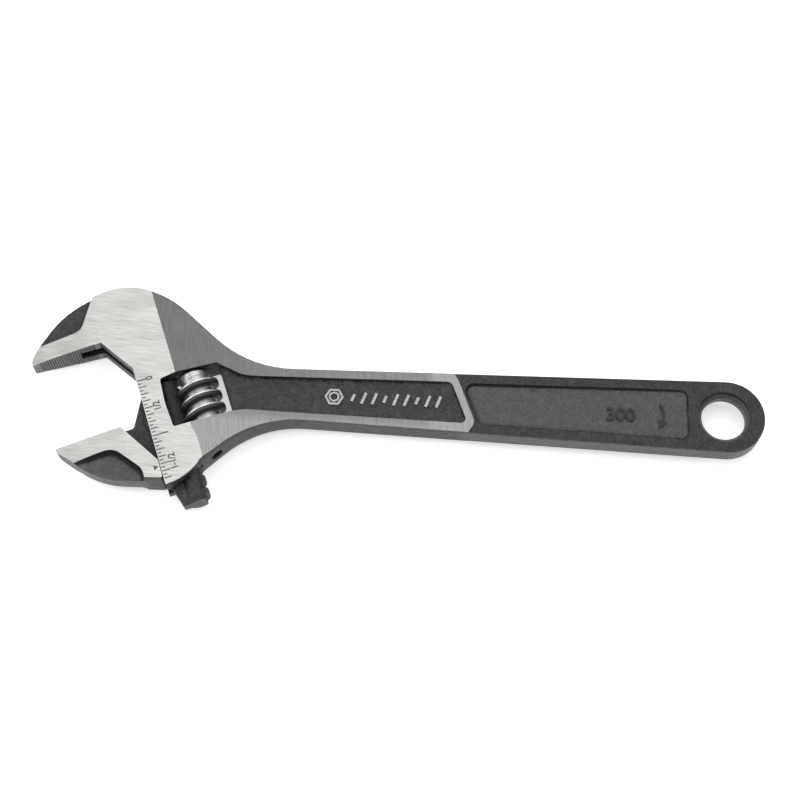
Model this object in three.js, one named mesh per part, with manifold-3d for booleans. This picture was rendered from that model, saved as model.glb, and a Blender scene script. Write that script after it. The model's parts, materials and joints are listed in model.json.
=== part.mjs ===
/**
 * Adjustable wrench with a sliding lower jaw, built from five separate pieces:
 * the forged body with its fixed jaw, the movable jaw with its toothed shank,
 * the knurled screw, the pin it turns on and the small spring that steadies it.
 *
 * Frame: +X runs along the handle to the hanging hole, +Y to the fixed jaw side, +Z up
 * through the thickness. Outlines are drawn about the middle of the knurled screw, on the
 * handle's centre line, and the finished group is moved so that its box stands on Z = 0.
 *
 * The jaws are turned against the handle. Their own plane has the directions
 * p (out of the slide, towards the jaw tips) and q (along the slide, towards the fixed jaw).
 */
import * as THREE from 'three';
import { mergeVertices } from 'three/addons/utils/BufferGeometryUtils.js';
import Module from 'manifold-3d';

const wasm = await Module();
wasm.setup();

// ---------------------------------------------------------------- sizes, in millimetres
const JAW_ANGLE = THREE.MathUtils.degToRad(21);
const RUNNING_GAP = 0.3;
const PIN_GAP = 0.05;
const ARC_STEP = THREE.MathUtils.degToRad(5);
const CROWN_SEGMENTS = 4;

const HEAD_HALF_THICKNESS = 7.5;
const JAW_TIP_HALF_THICKNESS = 4.1;
const GRIP_START_HALF_THICKNESS = 5.3;
const GRIP_END_HALF_THICKNESS = 4.3;
const SIDE_CROWN = 1.0;
const SIDE_FLAT_HALF_HEIGHT = 2.5;

const SCREW_OFFSET_Y = -2.6;
const GRIP_END_X = 231.6;
const GRIP_START_HALF_WIDTH = 9.4;
const GRIP_END_HALF_WIDTH = 15.0;

const SLIDE_P = 23;
const THROAT_START_Q = 18.9;
const THROAT_END_P = 32.7;
const FIXED_FACE_Q = 34.2;
const JAW_TIP_P = 61.2;
const NECK_START_P = 6.7;
const GRIP_START_P = -26;

const JAW_OPENING = 39.1;
const EXTRA_OPENING = 2.2;
const MOVABLE_FACE_Q = FIXED_FACE_Q - JAW_OPENING;
const JAW_RIB = 8;
const JAW_WEB_HALF_THICKNESS = 3.5;
const FIXED_RECESS_COVE = 0.8;
const MOVABLE_RECESS_COVE = 2.6;
const MOVABLE_LENGTH_Q = 26.4;
const MOVABLE_LEG_WIDTH = 6.9;

const WINDOW_P_LOW = -11.2;
const WINDOW_P_HIGH = 13.6;
const WINDOW_HALF_Q = 11.45;

const SCREW_RADIUS = 9.2;
const SCREW_ROOT_RADIUS = 6.0;
const SCREW_PITCH = 5.75;
const SCREW_CREST_WIDTH = 2.3;
const SCREW_ROOT_WIDTH = 3.2;
const SCREW_PHASE_Q = 2.55;
const SCREW_STEPS = 32;
const SCREW_RIDGE_END_Q = 6.6;
const COLLAR_RISE = 0.2;

const PIN_RADIUS = 2.5;
const PIN_HEAD_Q = -22.5;
const PIN_TIP_Q = 17.2;
const SPRING_POCKET_RADIUS = 4.4;
const SPRING_POCKET_DEPTH = 3.4;
const SPRING_WIRE_RADIUS = 0.4;
const SPRING_TURNS = 2.5;

const ROD_RADIUS = 4.9;
const ROD_ROOT_CLEARANCE = 1.0;
const ROD_P = SCREW_ROOT_RADIUS + ROD_ROOT_CLEARANCE + ROD_RADIUS;
const ROD_TOP_Q = 10.6;
const FIN_TOP_Q = 6.8;
const ROD_BOTTOM_Q = -44.0;
const WEB_HALF_THICKNESS = 2.4;
const BORE_END_Q = ROD_TOP_Q + JAW_OPENING + 0.5;

const HOLE_FROM_END = 15.6;
const HOLE_X = GRIP_END_X - HOLE_FROM_END;
const RECESS_END_X = HOLE_X - 16.6;
const HOLE_RADIUS = 9.2;
const HOLE_COUNTERSINK = 2.1;
const HOLE_LAND_HALF_HEIGHT = 1.7;

const FRONT_POCKET_FLOOR = 3.6;
const REAR_RECESS_FLOOR = 2.9;
const POCKET_DRAFT = 0.8;
const RECESS_DRAFT = 2.0;

const FRAME_STEP = 0.4;

const SERRATION_PITCH = 1.0;
const SERRATION_DEPTH = 0.28;
const SERRATION_COUNT = 24;

// ---------------------------------------------------------------- frames and directions
const DIRECTION_P = new THREE.Vector3(-Math.cos(JAW_ANGLE), -Math.sin(JAW_ANGLE), 0);
const DIRECTION_Q = new THREE.Vector3(-Math.sin(JAW_ANGLE), Math.cos(JAW_ANGLE), 0);
const DIRECTION_Z = new THREE.Vector3(0, 0, 1);

/** Moves geometry written as (p, z, q) into the wrench's frame. */
const JAW_FRAME = new THREE.Matrix4()
  .makeBasis(DIRECTION_P, DIRECTION_Z, DIRECTION_Q)
  .setPosition(0, SCREW_OFFSET_Y, 0);

/** Half the grip's width at x, which grows steadily to the hanging end. */
const gripHalfWidth = (x) =>
  THREE.MathUtils.lerp(GRIP_START_HALF_WIDTH, GRIP_END_HALF_WIDTH, x / GRIP_END_X);

/** An outline corner in the handle's plane, rounded to the given radius. */
const corner = (x, y, radius = 0) => ({ x, y, radius });

/** An outline corner in the jaws' plane, rounded to the given radius. */
const jawCorner = (p, q, radius = 0) => ({
  x: p * DIRECTION_P.x + q * DIRECTION_Q.x,
  y: p * DIRECTION_P.y + q * DIRECTION_Q.y + SCREW_OFFSET_Y,
  radius,
});

/** The closed outline through the corners, each one replaced by its tangent arc. */
function roundedOutline(corners) {
  const points = [];
  corners.forEach((here, index) => {
    const at = new THREE.Vector2(here.x, here.y);
    if (!here.radius) {
      points.push(at);
      return;
    }
    const before = corners[(index + corners.length - 1) % corners.length];
    const after = corners[(index + 1) % corners.length];
    const toBefore = new THREE.Vector2(before.x, before.y).sub(at).normalize();
    const toAfter = new THREE.Vector2(after.x, after.y).sub(at).normalize();
    const halfAngle = Math.acos(THREE.MathUtils.clamp(toBefore.dot(toAfter), -1, 1)) / 2;
    const turn = Math.PI - 2 * halfAngle;
    const centre = toBefore.clone().add(toAfter).normalize();
    centre.multiplyScalar(here.radius / Math.sin(halfAngle)).add(at);
    const start = at.clone().addScaledVector(toBefore, here.radius / Math.tan(halfAngle));
    const side = Math.sign(toBefore.cross(toAfter));
    const steps = Math.max(2, Math.ceil(turn / ARC_STEP));
    for (let step = 0; step <= steps; step += 1) {
      points.push(start.clone().rotateAround(centre, -side * turn * (step / steps)));
    }
  });
  return new THREE.Shape(points);
}

// ---------------------------------------------------------------- solids
/** A closed solid from any closed three.js geometry. */
function solidFrom(geometry) {
  const bare = geometry.clone();
  bare.deleteAttribute('normal');
  bare.deleteAttribute('uv');
  const merged = mergeVertices(bare, 1e-5);
  const mesh = new wasm.Mesh({
    numProp: 3,
    vertProperties: new Float32Array(merged.attributes.position.array),
    triVerts: new Uint32Array(merged.index.array),
  });
  return new wasm.Manifold(mesh);
}

/** A straight prism of the outline between two heights. */
function prism(corners, low, high) {
  const geometry = new THREE.ExtrudeGeometry(roundedOutline(corners), {
    depth: high - low,
    bevelEnabled: false,
  });
  return solidFrom(geometry.translate(0, 0, low));
}

/** A pocket cutter: the outline is the pocket's floor and its walls curve out from it by draft. */
function pocketCutter(corners, floor, depth, draft, segments = 3) {
  const geometry = new THREE.ExtrudeGeometry(roundedOutline(corners), {
    depth: 2,
    bevelThickness: depth,
    bevelSize: draft,
    bevelSegments: segments,
  });
  return solidFrom(geometry.translate(0, 0, floor + depth));
}

/** The cutter and its mirror image below the middle plane. */
const bothFaces = (cutter) => cutter.add(cutter.mirror([0, 0, 1]));

/** A solid turned about the slide direction, with its axis at the given p. */
function turnedAboutSlide(profile, p, segments) {
  const points = profile.map(([radius, q]) => new THREE.Vector2(radius, q));
  const geometry = new THREE.LatheGeometry(points, segments);
  geometry.rotateX(Math.PI / 2).translate(p, 0, 0);
  return solidFrom(geometry.applyMatrix4(JAW_FRAME));
}

/** A plain cylinder along the slide direction. */
const slideCylinder = (radius, p, low, high, segments) =>
  turnedAboutSlide([[0, low], [radius, low], [radius, high], [0, high]], p, segments);

/**
 * A closed strip swept through rings of points: ring after ring is joined by quads and the
 * first and last rings are capped.
 */
function sweptRings(rings) {
  const size = rings[0].length;
  const positions = rings.flat().flatMap((point) => [point.x, point.y, point.z]);
  const index = [];
  for (let ring = 0; ring + 1 < rings.length; ring += 1) {
    for (let side = 0; side < size; side += 1) {
      const a = ring * size + side;
      const b = ring * size + ((side + 1) % size);
      index.push(a, b, b + size, a, b + size, a + size);
    }
  }
  const last = (rings.length - 1) * size;
  for (let side = 1; side + 1 < size; side += 1) {
    index.push(0, side + 1, side);
    index.push(last, last + side, last + side + 1);
  }
  const geometry = new THREE.BufferGeometry();
  geometry.setAttribute('position', new THREE.Float32BufferAttribute(positions, 3));
  geometry.setIndex(index);
  return geometry;
}

/** A point on the helix family about the screw's axis, where angle 0 faces the shank. */
const aboutScrew = (radius, angle, q) =>
  new THREE.Vector3(radius * Math.cos(angle), radius * Math.sin(angle), q);

/** The screw's ridge between two heights, widened by gap on its flanks and its crest. */
function threadRidge(lowQ, highQ, gap) {
  const firstTurn = Math.floor((lowQ - SCREW_PHASE_Q) / SCREW_PITCH) - 0.5;
  const lastTurn = Math.ceil((highQ - SCREW_PHASE_Q) / SCREW_PITCH) + 0.5;
  const steps = Math.round((lastTurn - firstTurn) * SCREW_STEPS);
  const flank = (SCREW_ROOT_WIDTH - SCREW_CREST_WIDTH) / (SCREW_RADIUS - SCREW_ROOT_RADIUS);
  const outer = SCREW_RADIUS + gap;
  const inner = SCREW_ROOT_RADIUS - 0.6;
  const halfWidth = (radius) =>
    (SCREW_CREST_WIDTH + (SCREW_RADIUS - radius) * flank) / 2 + gap;
  const rings = [];
  for (let step = 0; step <= steps; step += 1) {
    const turn = firstTurn + ((lastTurn - firstTurn) * step) / steps;
    const angle = turn * 2 * Math.PI;
    const q = SCREW_PHASE_Q + turn * SCREW_PITCH;
    rings.push([
      aboutScrew(inner, angle, q + halfWidth(inner)),
      aboutScrew(outer, angle, q + halfWidth(outer)),
      aboutScrew(outer, angle, q - halfWidth(outer)),
      aboutScrew(inner, angle, q - halfWidth(inner)),
    ]);
  }
  return solidFrom(sweptRings(rings).applyMatrix4(JAW_FRAME));
}

/** The solid between the upper and lower faces, each lowered by drop; it follows the jaws' p. */
function thicknessEnvelope(drop = 0) {
  const taperStart = THROAT_END_P;
  const profile = [];
  const steps = 6;
  for (let step = steps + 1; step >= 0; step -= 1) {
    const share = step / steps;
    const taper = (HEAD_HALF_THICKNESS - JAW_TIP_HALF_THICKNESS) * share ** 1.4;
    profile.push([taperStart + (JAW_TIP_P - taperStart) * share, HEAD_HALF_THICKNESS - taper]);
  }
  profile.push([NECK_START_P, HEAD_HALF_THICKNESS]);
  profile.push([GRIP_START_P, GRIP_START_HALF_THICKNESS]);
  profile.push([-GRIP_END_X - 10, GRIP_END_HALF_THICKNESS]);
  const upper = profile.map(([p, z]) => new THREE.Vector2(p, z - drop));
  const lower = profile.map(([p, z]) => new THREE.Vector2(p, drop - z)).reverse();
  const geometry = new THREE.ExtrudeGeometry(new THREE.Shape([...upper, ...lower]), {
    depth: 400,
    bevelEnabled: false,
  });
  return solidFrom(geometry.translate(0, 0, -200).applyMatrix4(JAW_FRAME));
}

/** A row of small V grooves across a jaw face; side is +1 where the jaw lies at higher q. */
function serrations(faceQ, side) {
  const start = JAW_TIP_P - 1.9;
  const corners = [];
  for (let groove = 0; groove < SERRATION_COUNT; groove += 1) {
    const p = start - groove * SERRATION_PITCH;
    corners.push(jawCorner(p, faceQ));
    corners.push(jawCorner(p - SERRATION_PITCH * 0.35, faceQ + side * SERRATION_DEPTH));
    corners.push(jawCorner(p - SERRATION_PITCH * 0.7, faceQ));
  }
  corners.push(jawCorner(start - SERRATION_COUNT * SERRATION_PITCH, faceQ - side));
  corners.push(jawCorner(start + 0.5, faceQ - side));
  return prism(corners, -HEAD_HALF_THICKNESS - 1, HEAD_HALF_THICKNESS + 1);
}

// ---------------------------------------------------------------- the body
/** The forging with crowned sides, before anything is machined into it. */
function forgedBlank() {
  const topOutline = [
    jawCorner(JAW_TIP_P + 0.2, FIXED_FACE_Q - 3),
    jawCorner(JAW_TIP_P + 0.1, FIXED_FACE_Q + 1.9, 3),
    jawCorner(JAW_TIP_P - 5.2, FIXED_FACE_Q + 8.1, 9),
    corner(-58.6, 33.4, 40),
    corner(-34.6, 45.8, 26),
    corner(-15.5, 39.3, 40),
    corner(18.6, gripHalfWidth(18.6), 50),
  ];
  const gripEnd = [
    corner(GRIP_END_X, gripHalfWidth(GRIP_END_X), GRIP_END_HALF_WIDTH * 0.97),
    corner(GRIP_END_X, -gripHalfWidth(GRIP_END_X), GRIP_END_HALF_WIDTH * 0.97),
  ];
  const lowerOutline = [
    corner(24.7, -gripHalfWidth(24.7), 45),
    corner(3.8, -30.6, 4),
    corner(-0.4, -39.3, 24.5),
    corner(-15.5, -45.6),
  ];
  const outline = roundedOutline([...topOutline, ...gripEnd, ...lowerOutline]);
  const geometry = new THREE.ExtrudeGeometry(outline, {
    depth: 2 * SIDE_FLAT_HALF_HEIGHT,
    bevelThickness: HEAD_HALF_THICKNESS - SIDE_FLAT_HALF_HEIGHT + 0.1,
    bevelSize: SIDE_CROWN,
    bevelSegments: CROWN_SEGMENTS,
  });
  return solidFrom(geometry.translate(0, 0, -SIDE_FLAT_HALF_HEIGHT));
}

/** The space between the jaws, with the throat and the straight edge the jaw slides on. */
function jawOpeningCutter() {
  const far = HEAD_HALF_THICKNESS + 2;
  const opening = [
    jawCorner(SLIDE_P, -90),
    jawCorner(SLIDE_P, THROAT_START_Q, 1),
    jawCorner(THROAT_END_P, FIXED_FACE_Q, 0.4),
    jawCorner(120, FIXED_FACE_Q),
    jawCorner(120, -90),
  ];
  return prism(opening, -far, far);
}

/** The round bore for the shank and the narrow slot its web runs in, up into the fixed jaw. */
function shankChannel() {
  const bore = slideCylinder(ROD_RADIUS + RUNNING_GAP, ROD_P, -90, BORE_END_Q, 40);
  const half = WEB_HALF_THICKNESS + 0.25;
  const slot = [
    jawCorner(ROD_P, -90),
    jawCorner(ROD_P, BORE_END_Q),
    jawCorner(ROD_P + ROD_RADIUS + 2, BORE_END_Q, 3),
    jawCorner(38.5, FIXED_FACE_Q + 7.3, 12),
    jawCorner(44.5, FIXED_FACE_Q - 4.2),
    jawCorner(60, -90),
  ];
  return bore.add(prism(slot, -half, half));
}

/** The window the knurled screw shows through. */
function screwWindow() {
  const far = HEAD_HALF_THICKNESS + 2;
  const window = [
    jawCorner(WINDOW_P_LOW, -WINDOW_HALF_Q, 1),
    jawCorner(WINDOW_P_LOW, WINDOW_HALF_Q, 1),
    jawCorner(NECK_START_P, WINDOW_HALF_Q + 0.5, 4),
    jawCorner(WINDOW_P_HIGH, WINDOW_HALF_Q - 0.6, 1.4),
    jawCorner(WINDOW_P_HIGH + 0.7, -0.2, 30),
    jawCorner(WINDOW_P_HIGH, -WINDOW_HALF_Q, 0.9),
  ];
  return prism(window, -far, far);
}

/** The hanging hole, countersunk from both faces. */
function hangingHole() {
  const half = GRIP_END_HALF_THICKNESS + 0.1;
  const mouth = HOLE_RADIUS + HOLE_COUNTERSINK;
  const profile = [
    [0, -half - 2],
    [mouth, -half - 2],
    [mouth, -half],
    [HOLE_RADIUS, -HOLE_LAND_HALF_HEIGHT],
    [HOLE_RADIUS, HOLE_LAND_HALF_HEIGHT],
    [mouth, half],
    [mouth, half + 2],
    [0, half + 2],
  ].map(([radius, z]) => new THREE.Vector2(radius, z));
  const geometry = new THREE.LatheGeometry(profile, 64);
  return solidFrom(geometry.rotateX(Math.PI / 2).translate(HOLE_X, 0, 0));
}

/** The framed pocket between the screw's window and the middle of the grip. */
function frontPocket() {
  const floor = [
    jawCorner(WINDOW_P_LOW + 4, WINDOW_HALF_Q - 2),
    jawCorner(WINDOW_P_LOW + 1.2, WINDOW_HALF_Q - 0.6, 1),
    corner(17.2, 6.3, 14),
    corner(103, gripHalfWidth(103) - 3.5, 2.5),
    corner(109.8, -gripHalfWidth(109.8) + 3.6, 1.4),
    corner(20, -7.4, 8),
    jawCorner(WINDOW_P_LOW + 0.8, -WINDOW_HALF_Q + 0.9, 1),
    jawCorner(WINDOW_P_LOW + 4, -WINDOW_HALF_Q + 3),
  ];
  return bothFaces(pocketCutter(floor, FRONT_POCKET_FLOOR, 3, POCKET_DRAFT));
}

/** What is taken off the grip's faces beyond the frame, so that the frame stands proud. */
function frameStep() {
  const beyondFrame = [
    corner(98.4, 22),
    corner(106.2, 10.0, 3.5),
    corner(113.7, -8.6, 4),
    corner(105.4, -22),
    corner(260, -22),
    corner(260, 22),
  ];
  return prism(beyondFrame, -20, 20).subtract(thicknessEnvelope(FRAME_STEP));
}

/** The longer, softer recess between the frame and the hanging hole. */
function rearRecess() {
  const rim = 3 + RECESS_DRAFT;
  const floor = [
    corner(110.6, gripHalfWidth(110.6) - rim, 1.5),
    corner(RECESS_END_X, gripHalfWidth(RECESS_END_X) - rim, 1.5),
    corner(RECESS_END_X, -gripHalfWidth(RECESS_END_X) + rim, 1.5),
    corner(116.6, -gripHalfWidth(116.6) + rim, 1.5),
  ];
  return bothFaces(pocketCutter(floor, REAR_RECESS_FLOOR, 1.7, RECESS_DRAFT));
}

/** The thinned corner behind the fixed jaw's rib, open to the outside edge. */
function fixedJawRecess() {
  const floor = [
    jawCorner(80, FIXED_FACE_Q + JAW_RIB - 1.7),
    jawCorner(39.8, FIXED_FACE_Q + JAW_RIB + 0.8, 5),
    jawCorner(30.5, FIXED_FACE_Q + JAW_RIB + 16.3),
    jawCorner(45, FIXED_FACE_Q + 50),
    jawCorner(90, FIXED_FACE_Q + 30),
  ];
  return bothFaces(pocketCutter(floor, JAW_WEB_HALF_THICKNESS, 4.2, FIXED_RECESS_COVE, 4));
}

function buildBody() {
  const pinHole = slideCylinder(PIN_RADIUS + PIN_GAP, 0, -60, PIN_TIP_Q + 0.3, 32);
  return forgedBlank()
    .intersect(thicknessEnvelope())
    .subtract(jawOpeningCutter())
    .subtract(serrations(FIXED_FACE_Q, 1))
    .subtract(fixedJawRecess())
    .subtract(shankChannel())
    .subtract(screwWindow())
    .subtract(pinHole)
    .subtract(frameStep())
    .subtract(frontPocket())
    .subtract(rearRecess())
    .subtract(hangingHole());
}

// ---------------------------------------------------------------- the moving pieces
/** The lower jaw, its web and its round shank with the rack cut to the screw's own thread. */
function buildMovableJaw() {
  const inner = SLIDE_P + RUNNING_GAP;
  const bottom = MOVABLE_FACE_Q - MOVABLE_LENGTH_Q;
  const outline = roundedOutline([
    jawCorner(THROAT_END_P + 1.5, MOVABLE_FACE_Q, 0.6),
    jawCorner(JAW_TIP_P + 0.2, MOVABLE_FACE_Q, 0.4),
    jawCorner(JAW_TIP_P - 0.8, MOVABLE_FACE_Q - 2.0, 4),
    jawCorner(47.8, bottom + 8.7, 34),
    jawCorner(inner, bottom, 0.8),
    jawCorner(inner, bottom + 7.8, 0.6),
  ]);
  const crown = 0.7;
  const jawGeometry = new THREE.ExtrudeGeometry(outline, {
    depth: 2 * SIDE_FLAT_HALF_HEIGHT,
    bevelThickness: HEAD_HALF_THICKNESS - SIDE_FLAT_HALF_HEIGHT + 0.1,
    bevelSize: crown,
    bevelSegments: CROWN_SEGMENTS,
  });
  const far = HEAD_HALF_THICKNESS + 2;
  const machined = prism([
    jawCorner(120, MOVABLE_FACE_Q),
    jawCorner(THROAT_END_P + 1.5, MOVABLE_FACE_Q),
    jawCorner(inner, bottom + 7.8),
    jawCorner(inner, bottom - 10),
    jawCorner(120, bottom - 10),
  ], -far, far);
  const ribEdge = MOVABLE_FACE_Q - JAW_RIB - MOVABLE_RECESS_COVE + 0.3;
  const legEdge = inner + MOVABLE_LEG_WIDTH + MOVABLE_RECESS_COVE + 0.1;
  const recess = [
    jawCorner(80, ribEdge),
    jawCorner(39.4 + MOVABLE_RECESS_COVE * 0.5, ribEdge, 5),
    jawCorner(legEdge, bottom + 5.5, 4),
    jawCorner(legEdge, bottom - 20),
    jawCorner(90, bottom - 20),
  ];
  const jaw = solidFrom(jawGeometry.translate(0, 0, -SIDE_FLAT_HALF_HEIGHT))
    .intersect(machined)
    .intersect(thicknessEnvelope())
    .subtract(serrations(MOVABLE_FACE_Q, -1))
    .subtract(bothFaces(pocketCutter(recess, JAW_WEB_HALF_THICKNESS, 4.2, MOVABLE_RECESS_COVE, 4)));

  const web = prism([
    jawCorner(ROD_P, ROD_TOP_Q - 0.6),
    jawCorner(ROD_P + ROD_RADIUS, ROD_TOP_Q - 0.6),
    jawCorner(SLIDE_P + 0.2, FIN_TOP_Q, 0.4),
    jawCorner(SLIDE_P + 6.4, MOVABLE_FACE_Q - 0.3, 1.5),
    jawCorner(36, MOVABLE_FACE_Q - 0.3),
    jawCorner(38, MOVABLE_FACE_Q - 4),
    jawCorner(30, bottom + 4),
    jawCorner(inner + 0.4, bottom + 0.5),
    jawCorner(SLIDE_P - 1.8, bottom - 2.8, 1),
    jawCorner(SLIDE_P - 4.6, ROD_BOTTOM_Q, 0.5),
    jawCorner(ROD_P, ROD_BOTTOM_Q),
  ], -WEB_HALF_THICKNESS, WEB_HALF_THICKNESS);
  const chamfer = 0.6;
  const rod = turnedAboutSlide([
    [0, ROD_BOTTOM_Q],
    [ROD_RADIUS - chamfer, ROD_BOTTOM_Q],
    [ROD_RADIUS, ROD_BOTTOM_Q + chamfer],
    [ROD_RADIUS, ROD_TOP_Q - chamfer],
    [ROD_RADIUS - chamfer, ROD_TOP_Q],
    [0, ROD_TOP_Q],
  ], ROD_P, 40);
  return jaw.add(web).add(rod).subtract(threadRidge(ROD_BOTTOM_Q, ROD_TOP_Q, RUNNING_GAP));
}

/** The knurled screw: one continuous ridge round a core, bored for its pin. */
function buildScrew() {
  const half = WINDOW_HALF_Q - RUNNING_GAP;
  const chamfer = 0.6;
  const clear = 0.2;
  const envelope = turnedAboutSlide([
    [0, -half],
    [SCREW_RADIUS - chamfer, -half],
    [SCREW_RADIUS + clear, -half + chamfer + clear],
    [SCREW_RADIUS + clear, SCREW_RIDGE_END_Q],
    [SCREW_ROOT_RADIUS + COLLAR_RISE, SCREW_RIDGE_END_Q],
    [SCREW_ROOT_RADIUS + COLLAR_RISE, half - chamfer],
    [SCREW_ROOT_RADIUS + COLLAR_RISE - chamfer, half],
    [0, half],
  ], 0, SCREW_STEPS);
  const core = slideCylinder(SCREW_ROOT_RADIUS, 0, -half, half, SCREW_STEPS);
  const bore = slideCylinder(PIN_RADIUS + PIN_GAP, 0, -half - 1, half + 1, 32);
  const springPocket = slideCylinder(
    SPRING_POCKET_RADIUS, 0, -half - 1, -half + SPRING_POCKET_DEPTH, 32);
  return threadRidge(-half, half, 0)
    .intersect(envelope)
    .add(core)
    .subtract(bore)
    .subtract(springPocket);
}

/** The pin the screw turns on, with a screwdriver slot in its head. */
function buildPin() {
  const chamfer = 0.4;
  const pin = turnedAboutSlide([
    [0, PIN_HEAD_Q],
    [PIN_RADIUS - chamfer, PIN_HEAD_Q],
    [PIN_RADIUS, PIN_HEAD_Q + chamfer],
    [PIN_RADIUS, PIN_TIP_Q - chamfer],
    [PIN_RADIUS - chamfer, PIN_TIP_Q],
    [0, PIN_TIP_Q],
  ], 0, 32);
  const slot = prism([
    jawCorner(-PIN_RADIUS - 1, PIN_HEAD_Q - 1),
    jawCorner(PIN_RADIUS + 1, PIN_HEAD_Q - 1),
    jawCorner(PIN_RADIUS + 1, PIN_HEAD_Q + 1.2),
    jawCorner(-PIN_RADIUS - 1, PIN_HEAD_Q + 1.2),
  ], -0.45, 0.45);
  return pin.subtract(slot);
}

/** The small coil spring in the screw's lower end, round the pin. */
function buildSpring() {
  const lowQ = -WINDOW_HALF_Q + SPRING_WIRE_RADIUS + 0.05;
  const highQ = -WINDOW_HALF_Q + RUNNING_GAP + SPRING_POCKET_DEPTH - SPRING_WIRE_RADIUS - 0.05;
  const coilRadius = (PIN_RADIUS + SPRING_POCKET_RADIUS) / 2;
  const steps = SPRING_TURNS * 24;
  const sides = 8;
  const rings = [];
  for (let step = 0; step <= steps; step += 1) {
    const share = step / steps;
    const angle = share * SPRING_TURNS * 2 * Math.PI;
    const q = THREE.MathUtils.lerp(lowQ, highQ, share);
    const ring = [];
    for (let side = 0; side < sides; side += 1) {
      const around = (side / sides) * 2 * Math.PI;
      const radius = coilRadius + SPRING_WIRE_RADIUS * Math.cos(around);
      ring.push(aboutScrew(radius, angle, q - SPRING_WIRE_RADIUS * Math.sin(around)));
    }
    rings.push(ring);
  }
  return solidFrom(sweptRings(rings).applyMatrix4(JAW_FRAME));
}

// ---------------------------------------------------------------- the finished group
const FINISHES = {
  blackenedSteel: { color: 0x3d3d3c, roughness: 0.55, metalness: 0.85 },
  groundSteel: { color: 0xb4b3ae, roughness: 0.35, metalness: 0.95 },
  screwSteel: { color: 0x55544f, roughness: 0.4, metalness: 0.9 },
  pinSteel: { color: 0x2e2e2e, roughness: 0.5, metalness: 0.9 },
  springSteel: { color: 0x8d8c88, roughness: 0.35, metalness: 0.95 },
};

/** A named mesh of the solid in the given finish. */
function namedMesh(name, solid, finish) {
  const mesh = solid.getMesh();
  const geometry = new THREE.BufferGeometry();
  geometry.setAttribute('position', new THREE.Float32BufferAttribute(mesh.vertProperties, 3));
  geometry.setIndex(new THREE.Uint32BufferAttribute(mesh.triVerts, 1));
  const flat = geometry.toNonIndexed();
  flat.computeVertexNormals();
  const result = new THREE.Mesh(flat, new THREE.MeshStandardMaterial(FINISHES[finish]));
  result.name = name;
  return result;
}

const wrench = new THREE.Group();
wrench.name = 'adjustable_wrench';
wrench.add(namedMesh('wrench_body', buildBody(), 'groundSteel'));
wrench.add(namedMesh('movable_jaw', buildMovableJaw(), 'blackenedSteel'));
wrench.add(namedMesh('knurl_screw', buildScrew(), 'screwSteel'));
wrench.add(namedMesh('knurl_pin', buildPin(), 'pinSteel'));
wrench.add(namedMesh('knurl_spring', buildSpring(), 'springSteel'));

const box = new THREE.Box3().setFromObject(wrench);
const middle = box.getCenter(new THREE.Vector3());
for (const piece of wrench.children) {
  piece.geometry.translate(-middle.x, -middle.y, -box.min.z);
}

export default wrench;
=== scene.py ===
"""Adjustable wrench: finishes, fine detail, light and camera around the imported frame.

Sizes in the classes are in millimetres and meshes are written in metres. Two sets of
directions are used. The handle's frame has x along the handle from the knurl and y up from
the handle's centre line. The jaws' frame has p out of the slide towards the jaw tips and q
along the slide towards the fixed jaw, both measured from the middle of the knurl. In both,
h is the height above or below the middle plane.
"""

import enum
import json
import logging
import math
from dataclasses import dataclass, field
from typing import Any, Optional

import bmesh
import bpy
import numpy as np
from mathutils import Matrix, Vector

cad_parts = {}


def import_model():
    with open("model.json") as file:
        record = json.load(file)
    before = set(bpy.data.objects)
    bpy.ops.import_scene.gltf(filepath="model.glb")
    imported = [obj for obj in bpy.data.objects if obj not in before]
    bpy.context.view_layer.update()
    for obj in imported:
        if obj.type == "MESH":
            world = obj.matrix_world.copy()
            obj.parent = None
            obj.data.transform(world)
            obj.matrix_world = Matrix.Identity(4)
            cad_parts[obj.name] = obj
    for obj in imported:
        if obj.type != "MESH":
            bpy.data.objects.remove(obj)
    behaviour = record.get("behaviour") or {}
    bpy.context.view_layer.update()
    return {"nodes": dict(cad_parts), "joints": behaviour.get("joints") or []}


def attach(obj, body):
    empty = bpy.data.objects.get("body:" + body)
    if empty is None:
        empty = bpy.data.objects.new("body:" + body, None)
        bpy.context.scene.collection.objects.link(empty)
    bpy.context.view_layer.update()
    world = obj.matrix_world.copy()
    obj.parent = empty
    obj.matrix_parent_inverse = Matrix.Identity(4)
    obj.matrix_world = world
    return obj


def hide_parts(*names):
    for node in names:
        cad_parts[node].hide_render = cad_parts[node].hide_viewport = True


LOG = logging.getLogger("wrench")
MM = 0.001
JAW_ANGLE = math.radians(21)

Array = np.ndarray
Colour = tuple[float, float, float]


# ------------------------------------------------------------------ places
@dataclass(frozen=True)
class Place:
    """The wrench's own directions, carried by the middle of the knurl in metres."""

    centre: tuple[float, float, float]
    knurl_drop: float = 2.6

    def jaw(self, p: Array, q: Array, h: Array) -> Array:
        """Points from the jaws' frame.

        Args:
            p: distances out of the slide, in millimetres.
            q: distances along the slide, in millimetres.
            h: heights above the middle plane, in millimetres.

        Returns:
            An array of points in metres: centre + p * P + q * Q + h * Z, where P is
            (-cos a, -sin a), Q is (-sin a, cos a) and a is the jaw angle.
        """
        c, s = math.cos(JAW_ANGLE), math.sin(JAW_ANGLE)
        x = -c * p - s * q
        y = -s * p + c * q
        return np.stack([x, y, h + 0 * x], axis=-1) * MM + np.array(self.centre)

    def handle(self, x: Array, y: Array, h: Array) -> Array:
        """Points from the handle's frame, in metres: centre + (x, y + knurl_drop, h)."""
        return np.stack([x, y + self.knurl_drop, h + 0 * x], axis=-1) * MM + np.array(self.centre)


class Side(enum.Enum):
    """Which flat of the wrench a detail lies on."""

    FRONT = 1
    BACK = -1


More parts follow.
